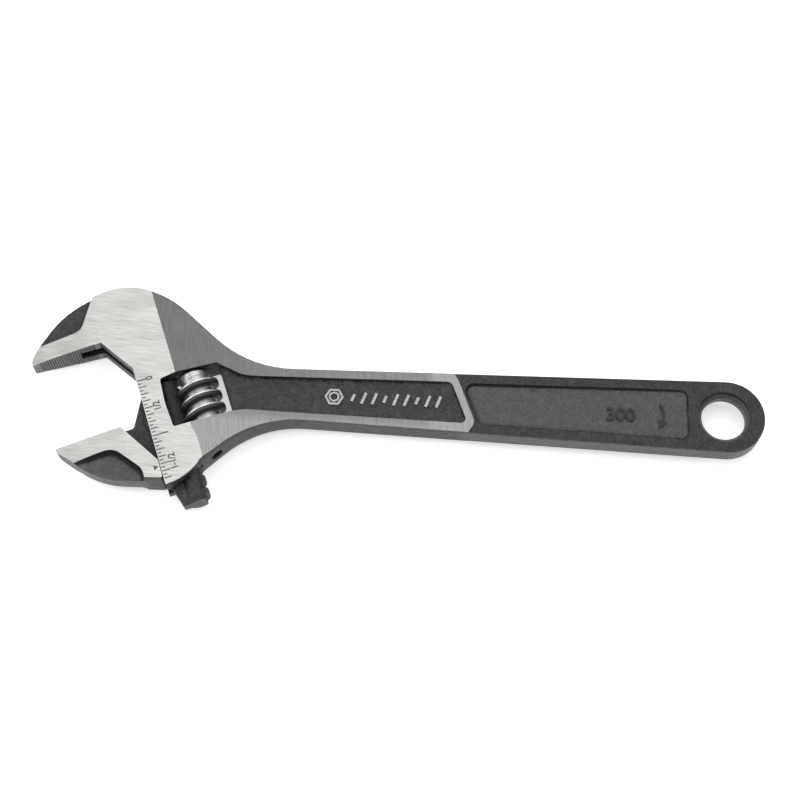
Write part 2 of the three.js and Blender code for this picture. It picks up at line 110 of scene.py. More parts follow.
def face_height(p: Array) -> Array:
    """Half the wrench's thickness at p: flat head, falling neck, long grip and thinning jaws.

    Args:
        p: distances out of the slide, in millimetres.

    Returns:
        The height of the ground face above the middle plane, in millimetres.
    """
    grip = 4.3 + (p + 242.2) * (1.0 / 216.2)
    neck = 7.5 + (p - 6.7) * (2.2 / 32.7)
    tip = 3.4 * np.clip((p - 32.7) / 28.5, 0, 1) ** 1.4
    return np.minimum(np.maximum(grip, neck), 7.5) - tip


# ------------------------------------------------------------------ meshes
def mesh_from(name: str, points: Array, faces: Array) -> bpy.types.Mesh:
    """A mesh from whole arrays.

    Args:
        name: the mesh's name.
        points: an array of points in metres, one row each.
        faces: an array of four or three point numbers per face.

    Returns:
        The new mesh, smooth shaded.
    """
    faces = np.asarray(faces, dtype=np.int32)
    mesh = bpy.data.meshes.new(name)
    mesh.vertices.add(len(points))
    mesh.vertices.foreach_set("co", np.asarray(points, dtype=np.float32).ravel())
    mesh.loops.add(faces.size)
    mesh.loops.foreach_set("vertex_index", faces.ravel())
    mesh.polygons.add(len(faces))
    mesh.polygons.foreach_set("loop_start", np.arange(0, faces.size, faces.shape[1], dtype=np.int32))
    mesh.update(calc_edges=True)
    mesh.validate()
    mesh.shade_smooth()
    return mesh


def grid_faces(rows: int, columns: int, close_rows: bool, close_columns: bool) -> Array:
    """The quads of a grid of points numbered row by row.

    Args:
        rows: how many rows of points.
        columns: how many points in a row.
        close_rows: whether the last row joins the first.
        close_columns: whether each row is a closed ring.

    Returns:
        An array of four point numbers per quad.
    """
    r = np.arange(rows if close_rows else rows - 1)
    c = np.arange(columns if close_columns else columns - 1)
    r0, c0 = (a.ravel() for a in np.meshgrid(r, c, indexing="ij"))
    r1, c1 = (r0 + 1) % rows, (c0 + 1) % columns
    return np.stack([r0 * columns + c0, r0 * columns + c1, r1 * columns + c1, r1 * columns + c0], 1)


def add_piece(name: str, mesh: bpy.types.Mesh, body: str,
              finish: bpy.types.Material) -> bpy.types.Object:
    """Links a finished mesh as a piece that rides on a body."""
    piece = bpy.data.objects.new(name, mesh)
    bpy.context.scene.collection.objects.link(piece)
    piece.data.materials.clear()
    piece.data.materials.append(finish)
    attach(piece, body)
    LOG.info("%s: %d faces, on %s", name, len(mesh.polygons), body)
    return piece


# ------------------------------------------------------------------ node trees
class Value:
    """A number in a node tree. Arithmetic on it adds Math nodes."""

    def __init__(self, tree: "Tree", socket: bpy.types.NodeSocket) -> None:
        """Wraps one output socket of the tree."""
        self.tree = tree
        self.socket = socket

    def _math(self, operation: str, *values: Any, clamp: bool = False) -> "Value":
        """Adds one Math node that works on the given values."""
        made = self.tree.node("ShaderNodeMath", {"operation": operation, "use_clamp": clamp},
                              dict(enumerate(values)))
        return Value(self.tree, made.outputs[0])

    def __add__(self, other: Any) -> "Value":
        """self + other"""
        return self._math("ADD", self, other)

    __radd__ = __add__

    def __sub__(self, other: Any) -> "Value":
        """self - other"""
        return self._math("SUBTRACT", self, other)

    def __rsub__(self, other: Any) -> "Value":
        """other - self"""
        return self._math("SUBTRACT", other, self)

    def __mul__(self, other: Any) -> "Value":
        """self * other"""
        return self._math("MULTIPLY", self, other)

    __rmul__ = __mul__

    def __truediv__(self, other: Any) -> "Value":
        """self / other"""
        return self._math("DIVIDE", self, other)

    def __pow__(self, other: Any) -> "Value":
        """self ** other"""
        return self._math("POWER", self, other)

    def size(self) -> "Value":
        """The number without its sign."""
        return self._math("ABSOLUTE", self)

    def root(self) -> "Value":
        """The square root."""
        return self._math("SQRT", self)

    def low(self, other: Any) -> "Value":
        """The lower of the two."""
        return self._math("MINIMUM", self, other)

    def high(self, other: Any) -> "Value":
        """The higher of the two."""
        return self._math("MAXIMUM", self, other)

    def wrapped(self, low: float, high: float) -> "Value":
        """The number brought between low and high by whole steps."""
        return self._math("WRAP", self, high, low)

    def angle(self, across: "Value") -> "Value":
        """The angle of the point (across, self), in radians."""
        return self._math("ARCTAN2", self, across)

    def rise(self, start: float, end: float) -> "Value":
        """0 below start and 1 above end, with a straight rise between them."""
        return self._math("MULTIPLY", self - start, 1.0 / (end - start), clamp=True)

    def fall(self, start: float, end: float) -> "Value":
        """1 below start and 0 above end."""
        return 1.0 - self.rise(start, end)


class Tree:
    """Adds nodes to a material's or a modifier's tree."""

    def __init__(self, tree: bpy.types.NodeTree) -> None:
        """Wraps a node tree."""
        self.tree = tree

    def node(self, kind: str, settings: Optional[dict] = None,
             inputs: Optional[dict] = None) -> bpy.types.Node:
        """Adds one node.

        Args:
            kind: the node's type.
            settings: its own settings, such as an operation, set first.
            inputs: socket name or number to a number, a colour, a Value or a socket.

        Returns:
            The new node.
        """
        made = self.tree.nodes.new(kind)
        for key, setting in (settings or {}).items():
            setattr(made, key, setting)
        for key, given in (inputs or {}).items():
            if isinstance(given, Value):
                given = given.socket
            if isinstance(given, bpy.types.NodeSocket):
                self.tree.links.new(given, made.inputs[key])
            else:
                made.inputs[key].default_value = given
        return made


class Surface(Tree):
    """The node tree of one material, with the wrench's own coordinates."""

    def __init__(self, name: str, place: Place) -> None:
        """Starts a material with one Principled shader.

        Args:
            name: the material's name.
            place: the wrench's directions.
        """
        self.material = bpy.data.materials.new(name)
        self.material.use_nodes = True
        super().__init__(self.material.node_tree)
        self.shader = next(n for n in self.tree.nodes if n.type == "BSDF_PRINCIPLED")
        self.where = self.node("ShaderNodeTexCoord").outputs["Object"]
        parts = self.node("ShaderNodeSeparateXYZ", {}, {0: self.where})
        x, y, z = (Value(self, parts.outputs[i]) for i in range(3))
        cx, cy, cz = place.centre
        self.x = (x - cx) / MM
        self.y = (y - (cy + place.knurl_drop * MM)) / MM
        self.z = (z - cz) / MM
        self.h = self.z.size()
        c, s = math.cos(JAW_ANGLE), math.sin(JAW_ANGLE)
        dx, dy = self.x, self.y + place.knurl_drop
        self.p = dx * -c + dy * -s
        self.q = dx * -s + dy * c

    def face_height(self) -> Value:
        """The height of the ground face at p, as the function face_height gives it."""
        grip = (self.p + 242.2) * (1.0 / 216.2) + 4.3
        neck = (self.p - 6.7) * (2.2 / 32.7) + 7.5
        tip = (self.p.rise(32.7, 61.2) ** 1.4) * 3.4
        return grip.high(neck).low(7.5) - tip

    def noise(self, scale: tuple[float, float, float], detail: float = 3.0,
              roughness: float = 0.55, turn: float = 0.0) -> Value:
        """Noise from 0 to 1.

        Args:
            scale: how many waves per metre along x, y and z.
            detail: how many finer octaves are added.
            roughness: how strong they are.
            turn: the pattern's turn about z, in radians.

        Returns:
            The noise as a Value.
        """
        turned = self.node("ShaderNodeMapping", {}, {"Vector": self.where, "Rotation": (0, 0, turn)})
        placed = self.node("ShaderNodeMapping", {}, {"Vector": turned.outputs[0], "Scale": scale})
        made = self.node("ShaderNodeTexNoise", {}, {
            "Vector": placed.outputs[0], "Scale": 1.0, "Detail": detail, "Roughness": roughness})
        return Value(self, made.outputs[0])

    def blend(self, share: Value, first: Any, second: Any) -> bpy.types.NodeSocket:
        """A colour that goes from the first to the second as share goes from 0 to 1."""
        mix = self.node("ShaderNodeMix", {"data_type": "RGBA"})
        for key, given in ((0, share), (6, first), (7, second)):
            if isinstance(given, Value):
                given = given.socket
            if isinstance(given, bpy.types.NodeSocket):
                self.tree.links.new(given, mix.inputs[key])
            else:
                mix.inputs[key].default_value = (*given, 1.0)
        return mix.outputs[2]

    def between(self, share: Value, first: Any, second: Any) -> Value:
        """A number that goes from the first to the second as share goes from 0 to 1."""
        if isinstance(first, (int, float)) and isinstance(second, (int, float)):
            return share * (second - first) + first
        return share * second + (1.0 - share) * first

    def dress(self, colour: Any, roughness: Any, metallic: Any, height: Optional[Value] = None,
              depth: float = 0.05) -> bpy.types.Material:
        """Connects what varies to the shader.

        Args:
            colour: the base colour's socket.
            roughness: a number or a Value.
            metallic: a number or a Value.
            height: the fine relief from 0 to 1, if any.
            depth: how deep the relief is, in millimetres.

        Returns:
            The finished material.
        """
        for key, given in (("Base Color", colour), ("Roughness", roughness), ("Metallic", metallic)):
            if isinstance(given, Value):
                given = given.socket
            if isinstance(given, bpy.types.NodeSocket):
                self.tree.links.new(given, self.shader.inputs[key])
            elif key == "Base Color":
                self.shader.inputs[key].default_value = (*given, 1.0)
            else:
                self.shader.inputs[key].default_value = given
        if height is not None:
            bump = self.node("ShaderNodeBump", {}, {
                "Height": height, "Distance": depth * MM, "Strength": 1.0})
            self.tree.links.new(bump.outputs[0], self.shader.inputs["Normal"])
        return self.material


# ------------------------------------------------------------------ finishes
@dataclass(frozen=True)
class GroundSteel:
    """Bright steel, ground with fine scratches along the handle."""

    dark: Colour = (0.27, 0.267, 0.254)
    light: Colour = (0.565, 0.56, 0.54)
    roughness: tuple[float, float] = (0.36, 0.50)


@dataclass(frozen=True)
class SatinSteel:
    """Darker steel, brushed across the handle, with darker copies of its colours as painted shade."""

    dark: Colour = (0.155, 0.155, 0.151)
    light: Colour = (0.28, 0.28, 0.273)
    # painted shade: darker copies of the satin colours, used where the satin steel is painted as less lit
    painted_shade_dark: Colour = (0.078, 0.078, 0.076)
    painted_shade_light: Colour = (0.150, 0.150, 0.145)
    roughness: tuple[float, float] = (0.34, 0.46)


@dataclass(frozen=True)
class BlackOxide:
    """Forged steel with a black oxide skin."""

    dark: Colour = (0.004, 0.004, 0.004)
    light: Colour = (0.042, 0.042, 0.042)
    worn: Colour = (0.085, 0.085, 0.085)
    # painted shade: near black for the recess steps, the jaw's cove and the window's walls
    deep: Colour = (0.002, 0.002, 0.002)
    roughness: tuple[float, float] = (0.32, 0.55)


@dataclass(frozen=True)
class ForgedFinish:
    """The finish of the forgings: ground faces on the head, satin neck and frame, black rest."""

    ground: GroundSteel = field(default_factory=GroundSteel)
    satin: SatinSteel = field(default_factory=SatinSteel)
    oxide: BlackOxide = field(default_factory=BlackOxide)
    neck_p: float = 6.7
    fixed_q: float = 34.2
    movable_q: float = -4.9

    def build(self, name: str, place: Place) -> bpy.types.Material:
        """Builds the material.

        Args:
            name: the material's name.
            place: the wrench's directions.

        Returns:
            The material. Its zones are chosen by p and by the height under the ground face.
            The neck's lower side and the frame's end carry painted light, the rest of the satin
            steel a painted shade, and the rear recess's floor and the movable jaw's recess are
            worn. The steps round them and the window's walls carry painted shade in deep black.
        """
        s = Surface(name, place)
        under = s.face_height() - s.h
        near_fixed = (s.q - self.fixed_q).size().fall(0.05, 0.09)
        near_movable = (s.q - self.movable_q).size().fall(0.05, 0.09)
        lands = near_fixed.high(near_movable) * s.p.rise(33.4, 33.6)
        on_face = under.fall(0.14, 0.22).high(lands * 0.3)
        # painted light and shade: this mask is 1 on the neck's lower side and the frame's end, which are
        # painted lighter, and rises a little along the handle; where it is 0 the satin steel takes its
        # painted shade copies
        painted_light = s.y.fall(-14, -6).high(s.x.rise(90, 97)).high(s.x.rise(2, 60) * 0.35)
        in_recess = s.h.fall(3.1, 3.5) * s.x.rise(106, 110)
        in_jaw = s.h.fall(3.55, 3.8) * s.p.rise(29, 31) * s.q.fall(-12, -10)
        # painted shade: the rear recess's step walls on its upper side and the movable jaw's cove walls,
        # darkened below
        step = s.h.rise(3.1, 3.3) * under.rise(0.6, 0.9) * s.x.rise(106, 110) * s.y.rise(0, 3)
        cove = s.h.rise(3.7, 4.0) * under.rise(0.25, 0.5) * s.p.rise(29, 31) * s.q.fall(-12, -10)
        bulge = s.q.fall(-18, -13) * s.q.rise(-37, -25)
        on_head = (s.p + bulge).rise(self.neck_p - 0.05, self.neck_p + 0.05)

        long_scratch = s.noise((90, 2600, 60), detail=4.0, roughness=0.6, turn=0.05)
        soft_cloud = s.noise((60, 140, 60), detail=2.0)
        cross_brush = s.noise((2600, 110, 60), detail=4.0, roughness=0.6, turn=-0.12)
        pits = s.noise((900, 900, 900), detail=3.0)
        hammer = s.noise((260, 260, 260), detail=2.0)

        scratch = (long_scratch * 0.7 + soft_cloud * 0.3).rise(0.32, 0.68)
        brush = cross_brush.rise(0.3, 0.7)
        skin = (pits * 0.6 + hammer * 0.4).rise(0.38, 0.62)

        bright = s.blend(scratch, self.ground.dark, self.ground.light)
        grey = s.blend(brush, self.satin.dark, self.satin.light)
        # painted shade: the satin steel's darker copies where the mask of painted light is low
        grey = s.blend(painted_light, s.blend(brush, self.satin.painted_shade_dark, self.satin.painted_shade_light), grey)
        black = s.blend(skin, self.oxide.dark, self.oxide.light)
        black = s.blend(in_recess.high(in_jaw), black, s.blend(skin, self.oxide.light, self.oxide.worn))
        # painted shade: the window's walls below the face
        window = s.p.rise(-12.4, -11.6) * s.p.fall(14.4, 15.2) * s.q.size().fall(12.0, 12.6)
        window = window * under.rise(0.3, 0.6)
        # painted shade: steps, coves and window walls are pushed towards near black
        black = s.blend(step.high(cove).high(window) * 0.85, black, self.oxide.deep)
        ground = s.blend(on_head, grey, bright)
        colour = s.blend(on_face, black, ground)

        rough = s.between(
            on_face,
            s.between(skin, *self.oxide.roughness),
            s.between(on_head, s.between(brush, *self.satin.roughness),
                      s.between(scratch, *self.ground.roughness)))
        metallic = s.between(on_face, 0.25, 1.0)
        relief = s.between(on_face, skin, s.between(on_head, brush * 0.10, scratch * 0.10))
        return s.dress(colour, rough, metallic, relief, depth=0.28)


@dataclass(frozen=True)
class KnurlFinish:
    """Dark grey knurl whose upper crest edge is worn bright, with a painted highlight on its root and
    collar.
    """

    root: float = 6.0
    crest: float = 9.2
    pitch: float = 5.75
    phase: float = 2.55
    crest_width: float = 2.3
    grey: Colour = (0.045, 0.045, 0.045)
    # worn bright metal on the upper crest edge, and a painted highlight on the root and collar
    bright: Colour = (0.66, 0.66, 0.65)

    def build(self, name: str, place: Place) -> bpy.types.Material:
        """Builds the material.

        Args:
            name: the material's name.
            place: the wrench's directions.

        Returns:
            The material. Its zones come from the distance to the axis and from how far
            along the axis a point is from the middle of the ridge.
        """
        s = Surface(name, place)
        radius = (s.p * s.p + s.z * s.z).root()
        turn = s.z.angle(s.p) / (2 * math.pi)
        along = (s.q - self.phase - turn * self.pitch).wrapped(-self.pitch / 2, self.pitch / 2)
        pits = s.noise((1500, 1500, 1500), detail=3.0)
        half = self.crest_width / 2
        edge = along.rise(half - 0.95, half - 0.65) * radius.rise(self.crest - 1.2, self.crest - 0.5)
        # painted highlight: the root, and the collar at the root's radius, are painted bright
        root = radius.fall(self.root + 0.25, self.root + 0.9)
        # the worn crest edge together with the painted highlight, broken up by the pits
        edge_wear_and_highlight = edge.high(root * 0.62) * pits.rise(0.22, 0.45)
        colour = s.blend(edge_wear_and_highlight, self.grey, self.bright)
        rough = s.between(edge_wear_and_highlight, s.between(pits, 0.34, 0.55), 0.30)
        return s.dress(colour, rough, s.between(edge_wear_and_highlight, 0.6, 1.0), pits, depth=0.05)


@dataclass(frozen=True)
class PlainMetal:
    """A small metal piece in one tone with slight variation."""

    dark: Colour
    light: Colour
    roughness: tuple[float, float]
    metallic: float = 1.0

    def build(self, name: str, place: Place) -> bpy.types.Material:
        """Builds the material from one fine noise."""
        s = Surface(name, place)
        grain = s.noise((1400, 1400, 1400), detail=3.0).rise(0.3, 0.7)
        return s.dress(s.blend(grain, self.dark, self.light), s.between(grain, *self.roughness),
                       self.metallic, grain, depth=0.02)


# ------------------------------------------------------------------ forgings
@dataclass
class Forging:
    """An imported forging, shaded smoothly over its curved walls and coves."""

    node: str
    sharp_angle: float = 34.0

    def _shading(self) -> bpy.types.NodeTree:
        """A modifier tree that keeps the machined edges sharp and smooths the curved walls.

        Returns:
            The tree: an edge is sharp where its faces turn by more than sharp_angle.
        """
        group = bpy.data.node_groups.new(f"{self.node}_shading", "GeometryNodeTree")
        group.interface.new_socket("Geometry", in_out="INPUT", socket_type="NodeSocketGeometry")
        group.interface.new_socket("Geometry", in_out="OUTPUT", socket_type="NodeSocketGeometry")
        t = Tree(group)
        start = t.node("NodeGroupInput")
        angle = Value(t, t.node("GeometryNodeInputMeshEdgeAngle").outputs[0])
        sharp = t.node("FunctionNodeCompare", {"data_type": "FLOAT", "operation": "GREATER_THAN"}, {
            0: angle, 1: math.radians(self.sharp_angle)})
        shaded = t.node("GeometryNodeSetMeshNormal", {"mode": "SHARPNESS"}, {
            0: start.outputs[0], "Remove Custom": True, "Edge Sharpness": sharp.outputs[0],
            "Face Sharpness": False})
        t.node("NodeGroupOutput", {}, {0: shaded.outputs[0]})
        return group

    def build(self, node: bpy.types.Object, finish: bpy.types.Material) -> None:
        """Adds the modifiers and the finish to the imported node.

        Args:
            node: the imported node's object.
            finish: its material.
        """
        weld = node.modifiers.new("weld", "WELD")
        weld.merge_threshold = 1e-6
        shade = node.modifiers.new("shading", "NODES")
        shade.node_group = self._shading()
        even = node.modifiers.new("normals", "WEIGHTED_NORMAL")
        even.keep_sharp = True
        for slot in node.material_slots:
            slot.material = finish
        LOG.info("%s: dressed", self.node)


# ------------------------------------------------------------------ knurl
@dataclass
class Knurl:
    """The thumb screw: a right-handed rounded ridge with a fine knurl round a core."""

    half_length: float = 11.15
    root: float = 6.0
    crest: float = 9.2
    pitch: float = 5.75
    phase: float = 2.55
    crest_width: float = 2.3
    root_width: float = 3.2
    corner: float = 0.4
    ridge_end: float = 6.6
    collar: float = 6.2
    bore: float = 2.55
    pocket: float = 4.4
    pocket_depth: float = 3.4
    columns: int = 240
    rows: int = 260
    teeth: int = 60

    def radius(self, angle: Array, q: Array) -> Array:
        """The knurl's surface.

        Args:
            angle: angles about the axis, 0 facing the rack.
            q: distances along the axis, in millimetres.

        Returns:
            The radius. With d the distance from the ridge's middle, it is the crest inside
            half the crest's width and the root outside half the root's width, with a
            straight flank between, softened by smooth corners, and small teeth on the crest.
            Past ridge_end the ridge is turned down to the collar, and both ends are chamfered.
        """
        d = (q - self.phase - self.pitch * angle / (2 * math.pi) + self.pitch / 2) % self.pitch
        d = np.abs(d - self.pitch / 2)
        share = np.clip((self.root_width / 2 - d) / ((self.root_width - self.crest_width) / 2), 0, 1)
        lip = np.clip((d - self.crest_width / 2 + self.corner) / self.corner, 0, 1)
        dome = self.corner * (1 - np.sqrt(np.clip(1 - lip ** 2, 0, 1))) * (d < self.crest_width / 2)
        radius = self.root + (self.crest - self.root) * share - dome
        teeth = 0.09 * (0.5 + 0.5 * np.cos(self.teeth * angle + 5.0 * q)) * (radius > self.crest - 0.4)
        end = np.clip(self.half_length - 0.6 - np.abs(q), -0.6, 0)
        turned = self.collar + (self.crest - self.collar) * np.clip((self.ridge_end - q) / 0.25, 0, 1)
        return np.minimum(radius - teeth, turned + end)

    def build(self, place: Place, finish: bpy.types.Material) -> bpy.types.Object:
        """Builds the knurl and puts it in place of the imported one.

        Args:
            place: the wrench's directions.
            finish: its material.

        Returns:
            The piece. Its rings run along the outside from end to end, over the upper end
            face into the bore, and back through the bore and the spring pocket.
        """
        angle = np.linspace(0, 2 * math.pi, self.columns, endpoint=False)
        q = np.linspace(-self.half_length, self.half_length, self.rows)
        a_out, q_out = np.meshgrid(angle, q)
        r_out = self.radius(a_out, q_out)
        inner = np.array([
            [self.bore + 0.5, self.half_length], [self.bore, self.half_length - 0.4],
            [self.bore, self.pocket_depth - self.half_length],
            [self.pocket, self.pocket_depth - self.half_length],
            [self.pocket, -self.half_length + 0.2], [self.pocket + 0.2, -self.half_length]])
        a_in, r_in = np.meshgrid(angle, inner[:, 0])
        q_in = np.repeat(inner[:, 1:2], self.columns, axis=1)
        r, a, along = (np.vstack(pair) for pair in ((r_out, r_in), (a_out, a_in), (q_out, q_in)))
        points = place.jaw((r * np.cos(a)).ravel(), along.ravel(), (r * np.sin(a)).ravel())
        faces = grid_faces(len(r), self.columns, True, True)
        mesh = mesh_from("knurl", points, faces)
        piece = add_piece("knurl", mesh, "knurl_screw", finish)
        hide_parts("knurl_screw")
        return piece


# ------------------------------------------------------------------ marks
@dataclass(frozen=True)
class Shape:
    """A closed solid as points (across, up, height) in millimetres, with its faces."""

    points: Array
    faces: Array

    def outward(self) -> "Shape":
        """The same solid with every face turned outwards, told from its signed volume."""
        a, b, c = (self.points[self.faces[:, k]] for k in (0, 1, 2))
        volume = np.sum(a * np.cross(b, c))
        return self if volume > 0 else Shape(self.points, self.faces[:, ::-1])


def ribbon(path: Array, half: Array, low: float, high: float, closed: bool = False,
           across: Optional[Array] = None) -> Shape:
    """A flat band that follows a path.

    Args:
        path: its middle line, one (across, up) point per row.
        half: half its width at each point.
        low: the height of its lower face.
        high: the height of its upper face.
        closed: whether the last point joins the first.
        across: the width's direction at each point; without it, square to the path.

    Returns:
        The solid: four points per row, right low, right high, left high and left low.
    """
    if across is None:
        run = np.gradient(path, axis=0)
        run = run / np.linalg.norm(run, axis=1, keepdims=True)
        across = np.column_stack([-run[:, 1], run[:, 0]])
    step = across * half[:, None]
    levels = ((-1.0, low), (-0.94, high), (0.94, high), (1.0, low))
    rows = [np.column_stack([path + share * step, np.full(len(path), h)]) for share, h in levels]
    points = np.stack(rows, axis=1).reshape(-1, 3)
    quads = grid_faces(len(path), 4, closed, True)
    if not closed:
        last = 4 * (len(path) - 1)
        quads = np.vstack([quads, [[3, 2, 1, 0]], [[last, last + 1, last + 2, last + 3]]])
    return Shape(points, np.vstack([quads[:, [0, 1, 2]], quads[:, [0, 2, 3]]])).outward()


def numeral(text: str, cap: float, low: float, high: float, narrow: float = 0.86) -> Shape:
    """A plain number as a solid, centred on the origin.

    Args:
        text: what it says.
        cap: the height of its digits, in millimetres.
        low: the height of its lower face.
        high: the height of its upper face.
        narrow: how much narrower than the font it is.

    Returns:
        The solid, with doubled points merged.
    """
    curve = bpy.data.curves.new("number", "FONT")
    curve.body = text
    curve.align_x = "CENTER"
    curve.align_y = "CENTER"
    curve.size = cap / 0.7
    curve.extrude = 0.5
    curve.offset = 0.035 * cap
    curve.resolution_u = 4
    holder = bpy.data.objects.new("number", curve)
    mesh = bpy.data.meshes.new_from_object(holder)
    work = bmesh.new()
    work.from_mesh(mesh)
    bmesh.ops.remove_doubles(work, verts=work.verts[:], dist=1e-4)
    bmesh.ops.triangulate(work, faces=work.faces[:])
    work.to_mesh(mesh)
    work.free()
    points = np.empty(3 * len(mesh.vertices), dtype=np.float32)
    mesh.vertices.foreach_get("co", points)
    faces = np.empty(3 * len(mesh.polygons), dtype=np.int32)
    mesh.polygons.foreach_get("vertices", faces)
    bpy.data.objects.remove(holder)
    bpy.data.meshes.remove(mesh)
    points = points.reshape(-1, 3).astype(float)
    points[:, :2] -= (points[:, :2].min(0) + points[:, :2].max(0)) / 2
    points[:, 0] *= narrow
    points[:, 2] = np.where(points[:, 2] > 0, high, low)
    return Shape(points, faces.reshape(-1, 3)).outward()


@dataclass
class Marks:
    """Solid marks that lie on one flat of the wrench and make one piece."""

    name: str
    place: Place
    body: str
    slot: str
    finish: bpy.types.Material
    side: Side = Side.FRONT
    on_handle: bool = False
    shapes: list[Shape] = field(default_factory=list)

    def add(self, shape: Shape, across: float = 0.0, up: float = 0.0) -> None:
        """Adds a solid, moved by (across, up) on the flat."""
        self.shapes.append(Shape(shape.points + np.array([across, up, 0.0]), shape.faces))

    def build(self) -> bpy.types.Object:
        """Joins the solids into one piece.

        Returns:
            The piece. On the head, across runs along q and up along p; on the handle they
            run along x and y. On the back, across is turned round so that it reads well.
        """
        first = np.cumsum([0] + [len(shape.points) for shape in self.shapes[:-1]])
        local = np.vstack([shape.points for shape in self.shapes])
        faces = np.vstack([shape.faces + start for shape, start in zip(self.shapes, first)])
        across, up, h = local[:, 0] * self.side.value, local[:, 1], local[:, 2] * self.side.value
        points = self.place.handle(across, up, h) if self.on_handle else self.place.jaw(up, across, h)
        mesh = mesh_from(self.name, points, faces)
        mesh.shade_flat()
        return add_piece(self.name, mesh, self.body, self.finish)


@dataclass
class Scale:
    """A printed scale beside the slide: ticks, numbers and a pointer on the movable jaw."""

    side: Side
    pitch: float
    every: int
    count: int
    labels: tuple[tuple[int, str], ...]
    zero_q: float = 12.5
    edge_p: float = 22.7
    long_tick: float = 3.1
    short_tick: float = 1.5
    half_width: float = 0.25
    label_p: float = 17.7
    cap: float = 2.75
    face: float = 7.5

    def build(self, place: Place, paint: bpy.types.Material) -> None:
        """Builds the scale and its pointer.

        Args:
            place: the wrench's directions.
            paint: the dark printed finish.
        """
        name = self.side.name.lower()
        low, high = self.face - 0.10, self.face + 0.02
        scale = Marks(f"scale_{name}", place, "wrench_body", "forged_body", paint, self.side)
        labelled = {index for index, _ in self.labels}
        for index in range(self.count):
            length = self.long_tick if index % self.every == 0 else self.short_tick
            length += 0.5 * (index in labelled)
            q = (self.zero_q - self.pitch * index) * self.side.value
            path = np.array([[q, self.edge_p], [q, self.edge_p - length]])
            scale.add(ribbon(path, np.full(2, self.half_width), low, high))
        for index, text in self.labels:
            q = (self.zero_q - self.pitch * index) * self.side.value
            scale.add(numeral(text, self.cap, low, high), q, self.label_p)
        scale.build()

        pointer = Marks(f"pointer_{name}", place, "movable_jaw", "forged_jaw", paint, self.side)
        path = np.array([[-26.5 * self.side.value, 25.7], [-26.5 * self.side.value, 23.8]])
        pointer.add(ribbon(path, np.array([1.2, 0.03]), low, high))
        pointer.build()


@dataclass
class PocketMark:
    """The generic raised mark in the front pocket: a nut's outline and slanted bars."""

    floor: float = 3.6
    height: float = 0.55
    nut_x: float = 55.4
    nut_radius: float = 3.5
    nut_band: float = 0.55
    bars: int = 9
    bars_start: float = 63.2
    bars_step: float = 4.4
    bar_half_length: float = 2.5
    bar_slant: float = 0.35

    def build(self, place: Place, finish: bpy.types.Material) -> None:
        """Builds the nut's six-sided ring, its round bore and the row of bars.

        Args:
            place: the wrench's directions.
            finish: the worn bright finish.
        """
        low, high = self.floor - 0.2, self.floor + self.height
        mark = Marks("pocket_mark", place, "wrench_body", "forged_body", finish, on_handle=True)
        for count, radius in ((6, self.nut_radius), (40, self.nut_radius * 0.52)):
            turn = np.linspace(0, 2 * math.pi, count, endpoint=False)
            out = np.column_stack([np.cos(turn), np.sin(turn)])
            band = np.full(count, self.nut_band if count == 6 else self.nut_band * 0.75)
            mark.add(ribbon(out * radius, band, low, high, closed=True, across=out), self.nut_x)
        for index in range(self.bars):
            x = self.bars_start + self.bars_step * index
            half = self.bar_half_length * (1.0 if index % 3 else 0.62)
            path = np.array([[x - self.bar_slant * half, -half], [x + self.bar_slant * half, half]])
            mark.add(ribbon(path, np.full(2, 0.62), low, high))
        mark.build()


@dataclass
class RecessMark:
    """The size number in the rear recess and a curved arrow beside it."""

    floor: float = 2.9
    height: float = 0.7
    number: str = "300"
    number_x: float = 173.5
    number_y: float = -1.0
    cap: float = 5.6
    arrow_x: float = 189.6
    arrow_radius: float = 9.5

    def build(self, place: Place, finish: bpy.types.Material) -> None:
        """Builds the number and the arrow, which bends down round a centre to its left.

        Args:
            place: the wrench's directions.
            finish: the black forged finish.
        """
        low, high = self.floor - 0.2, self.floor + self.height
        mark = Marks("recess_mark", place, "wrench_body", "forged_body", finish, on_handle=True)
        mark.add(numeral(self.number, self.cap, low, high, narrow=1.0), self.number_x, self.number_y)
        turn = np.linspace(0.52, -0.62, 25)
        centre = np.array([self.arrow_x - self.arrow_radius + 1.4, -0.6])
        path = centre + self.arrow_radius * np.column_stack([np.cos(turn), np.sin(turn)])
        share = np.linspace(0, 1, len(turn))
        half = np.where(share < 0.70, 0.55, 1.8 * (1.02 - share) / 0.32)
        mark.add(ribbon(path, half, low, high))
        mark.build()


